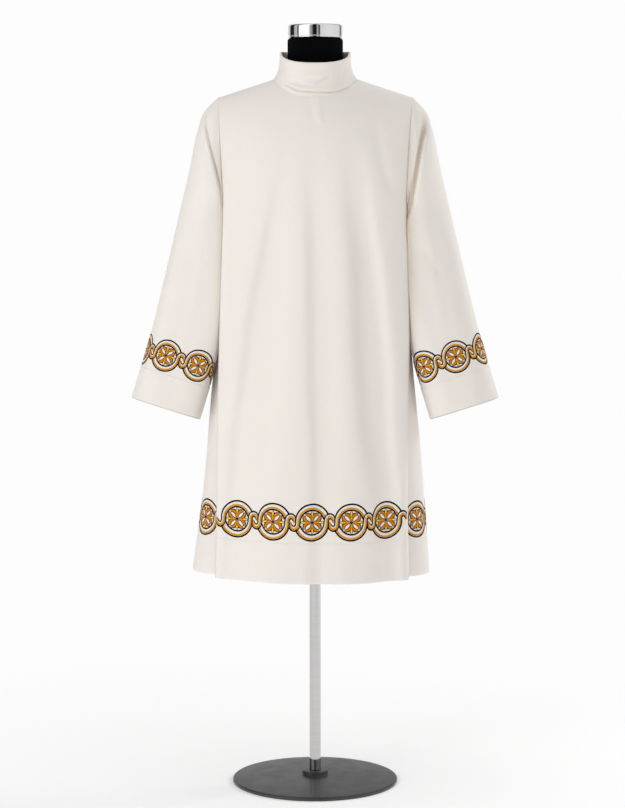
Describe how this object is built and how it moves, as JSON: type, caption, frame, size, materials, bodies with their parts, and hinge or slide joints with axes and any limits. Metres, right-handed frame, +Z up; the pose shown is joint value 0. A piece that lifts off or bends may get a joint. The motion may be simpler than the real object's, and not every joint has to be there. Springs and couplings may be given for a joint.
{
  "type": "surplice on a dress form",
  "caption": "Knee-length white surplice with a standing collar, set-in sleeves and pleated side gores, worn on a limbless black dress form with a round base.",
  "frame": {"origin": "middle of the base's flat underside, on the floor under the pole", "axes": "+Z up along the pole, the garment's front faces -Y, +X to the right as seen from the front"},
  "size_m": [0.7876, 0.3639, 1.641],
  "materials": {
    "cloth": "fine woven ivory white cloth, matt with a soft sheen, with black, white and gold embroidered bands",
    "jersey": "black stretch jersey over the form",
    "chrome_cap": "polished",
    "chrome_pole": "polished",
    "black_paint": "satin black"
  },
  "bodies": {
    "root": {"front": "cloth", "back": "cloth", "gore_left": "cloth", "gore_right": "cloth", "sleeve_left": "cloth", "sleeve_right": "cloth", "collar": "cloth", "form_torso": "jersey", "neck_cap": "chrome_cap", "pole": "chrome_pole", "base": "black_paint"}
  },
  "joints": []
}
